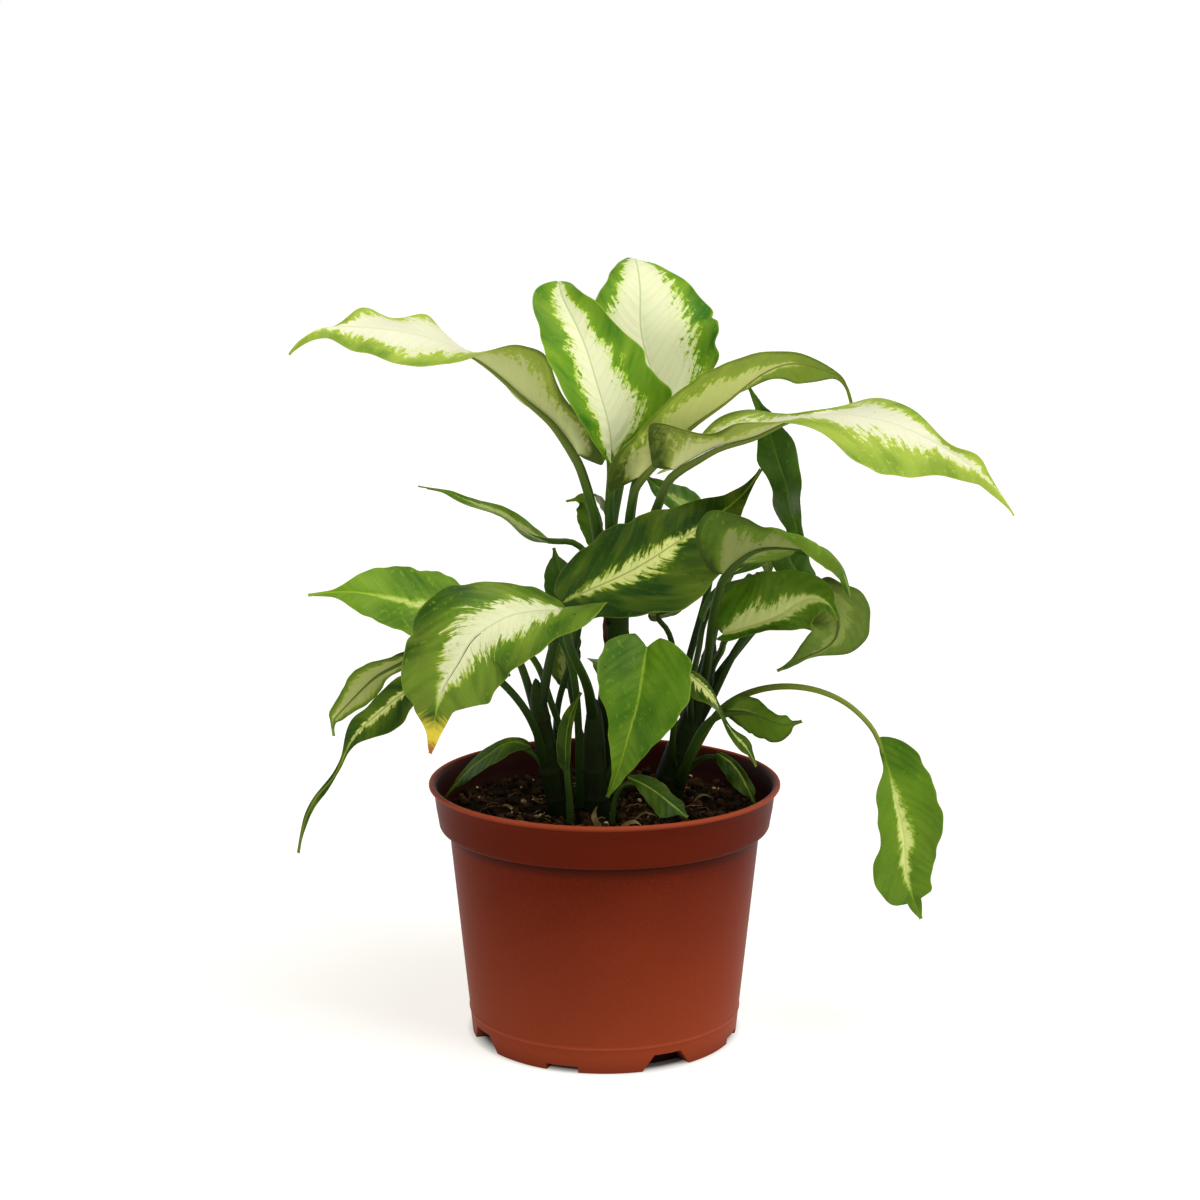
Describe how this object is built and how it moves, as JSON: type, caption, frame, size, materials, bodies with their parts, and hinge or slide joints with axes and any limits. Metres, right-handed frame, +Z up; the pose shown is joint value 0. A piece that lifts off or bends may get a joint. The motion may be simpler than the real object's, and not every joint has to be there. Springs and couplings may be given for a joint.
{
  "type": "potted dieffenbachia",
  "caption": "Variegated foliage plant of several canes with broad cream-centred leaves, standing in potting soil in a tapered terracotta-coloured plastic grower's pot; house decoration.",
  "frame": {"origin": "the middle of the pot's flat underside, on the surface that the pot stands on", "axes": "+Z is up along the pot's axis, -Y is the front that the picture shows, and +X is to the right seen from the front"},
  "size_m": [0.2721, 0.1665, 0.3076],
  "materials": {
    "terracotta_plastic": "moulded polypropylene, satin, terracotta red-brown",
    "potting_soil": "moist peat mix, matt, with pale perlite grains",
    "green_cane": "smooth green stem, satin",
    "leaf": "smooth leaf, semi-gloss, green margin with a cream centre"
  },
  "bodies": {
    "root": {"cane_centre": "green_cane", "cane_left": "green_cane", "cane_main": "green_cane", "cane_right": "green_cane", "leaf_back_high": "leaf", "leaf_back_left": "leaf", "leaf_back_low": "leaf", "leaf_back_right": "leaf", "leaf_behind_stalk": "leaf", "leaf_broad_drooping": "leaf", "leaf_dark_twisted": "leaf", "leaf_far_right_hanging": "leaf", "leaf_front_hanging": "leaf", "leaf_high_arching": "leaf", "leaf_high_back": "leaf", "leaf_high_front": "leaf", "leaf_high_left": "leaf", "leaf_high_right": "leaf", "leaf_in_pot_front": "leaf", "leaf_in_pot_left": "leaf", "leaf_in_pot_right": "leaf", "leaf_left_lime": "leaf", "leaf_left_long": "leaf", "leaf_left_narrow": "leaf", "leaf_left_olive": "leaf", "leaf_low_pale": "leaf", "leaf_middle_diagonal": "leaf", "leaf_pale_behind": "leaf", "leaf_right_arched": "leaf", "leaf_right_banded": "leaf", "leaf_right_hanging": "leaf", "leaf_right_narrow": "leaf", "leaf_right_small": "leaf", "leaf_right_twisted": "leaf", "leaf_small_bright": "leaf", "leaf_small_dark": "leaf", "pot": "terracotta_plastic", "shoot_young": "leaf", "soil": "potting_soil"}
  },
  "joints": []
}
